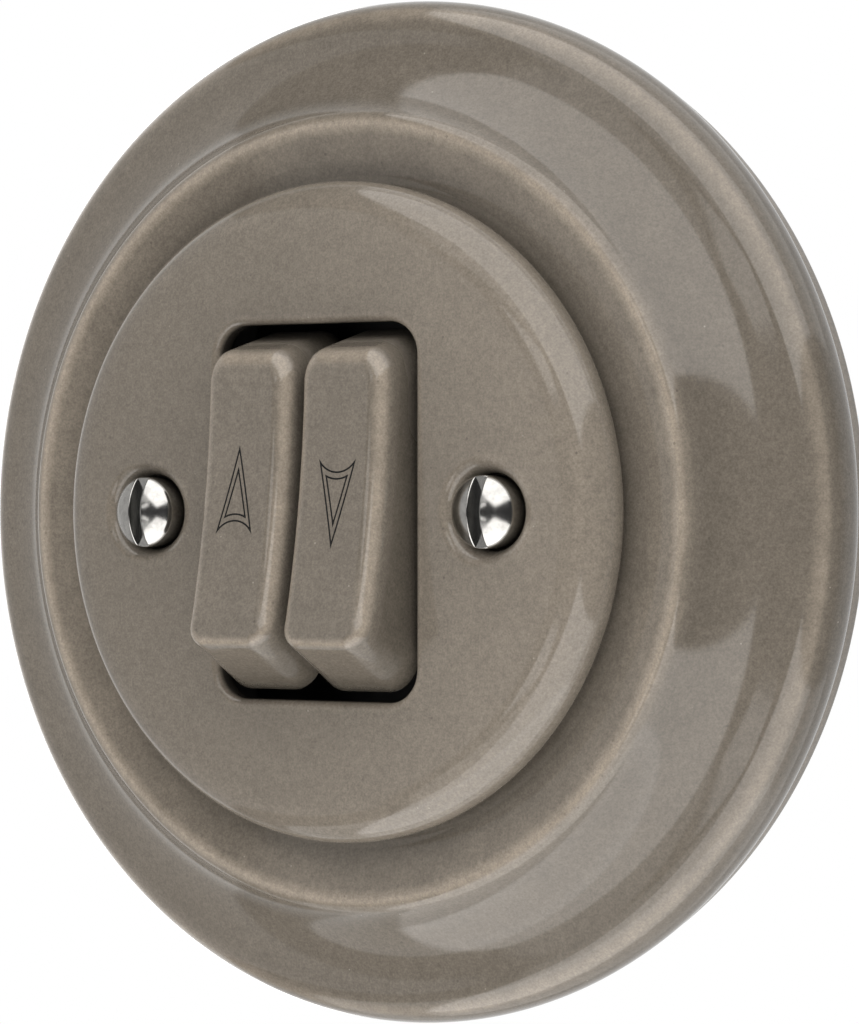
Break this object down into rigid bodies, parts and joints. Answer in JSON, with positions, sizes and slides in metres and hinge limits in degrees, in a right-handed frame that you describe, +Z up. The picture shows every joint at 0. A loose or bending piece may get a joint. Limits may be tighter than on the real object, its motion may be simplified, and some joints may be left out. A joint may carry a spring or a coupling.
{
  "type": "porcelain blind switch",
  "caption": "Round glazed porcelain wall switch for a roller blind, with an up key and a down key in a domed cover on a stepped round frame.",
  "frame": {"origin": "centre of the box screw pattern on the support plate's back face, in the plane of the wall", "axes": "+Y into the wall, so the front faces -Y; +Z up; +X to the viewer's right"},
  "size_m": [0.1, 0.0437, 0.1],
  "materials": {
    "glaze": "glossy taupe grey glaze",
    "screw_chrome": "polished chrome plate",
    "zinc_steel": "bright zinc plate",
    "spring_steel": "drawn steel",
    "brass": "plain brass",
    "grey_moulding": "light grey pressed moulding",
    "black_moulding": "black pressed moulding"
  },
  "bodies": {
    "switch": {"frame_ring": "glaze", "cover_plate": "glaze", "cover_screws": "screw_chrome", "support_plate": "zinc_steel", "housing_screws": "zinc_steel", "terminal_screws": "zinc_steel", "axle_pin": "spring_steel", "screw_posts": "brass", "feed_contact": "brass", "link_contact": "brass", "up_contact": "brass", "down_contact": "brass", "terminal_cages": "brass", "housing_base": "grey_moulding", "housing": "black_moulding"},
    "up_key": {"key_up": "glaze", "rocker_up": "black_moulding", "plunger_up": "black_moulding", "plunger_spring_up": "spring_steel"},
    "down_key": {"key_down": "glaze", "rocker_down": "black_moulding", "plunger_down": "black_moulding", "plunger_spring_down": "spring_steel"},
    "up_blade": {"blade_up": "brass"},
    "down_blade": {"blade_down": "brass"}
  },
  "joints": [
    {"name": "up_key_rock", "type": "hinge", "parent": "switch", "child": "up_key", "pos_m": [-0.0054, -0.0122, 0], "axis": [1, 0, 0], "range_deg": [0, 15]},
    {"name": "down_key_rock", "type": "hinge", "parent": "switch", "child": "down_key", "pos_m": [0.0054, -0.0122, 0], "axis": [1, 0, 0], "range_deg": [0, 15]},
    {"name": "up_blade_rock", "type": "hinge", "parent": "switch", "child": "up_blade", "pos_m": [-0.0054, -0.0012, 0], "axis": [1, 0, 0], "range_deg": [-12, 0]},
    {"name": "down_blade_rock", "type": "hinge", "parent": "switch", "child": "down_blade", "pos_m": [0.0054, -0.0012, 0], "axis": [1, 0, 0], "range_deg": [-12, 0]}
  ],
  "couplings": [
    {"joint": "up_blade_rock", "follows": "up_key_rock", "ratio": -0.8},
    {"joint": "down_blade_rock", "follows": "down_key_rock", "ratio": -0.8}
  ]
}
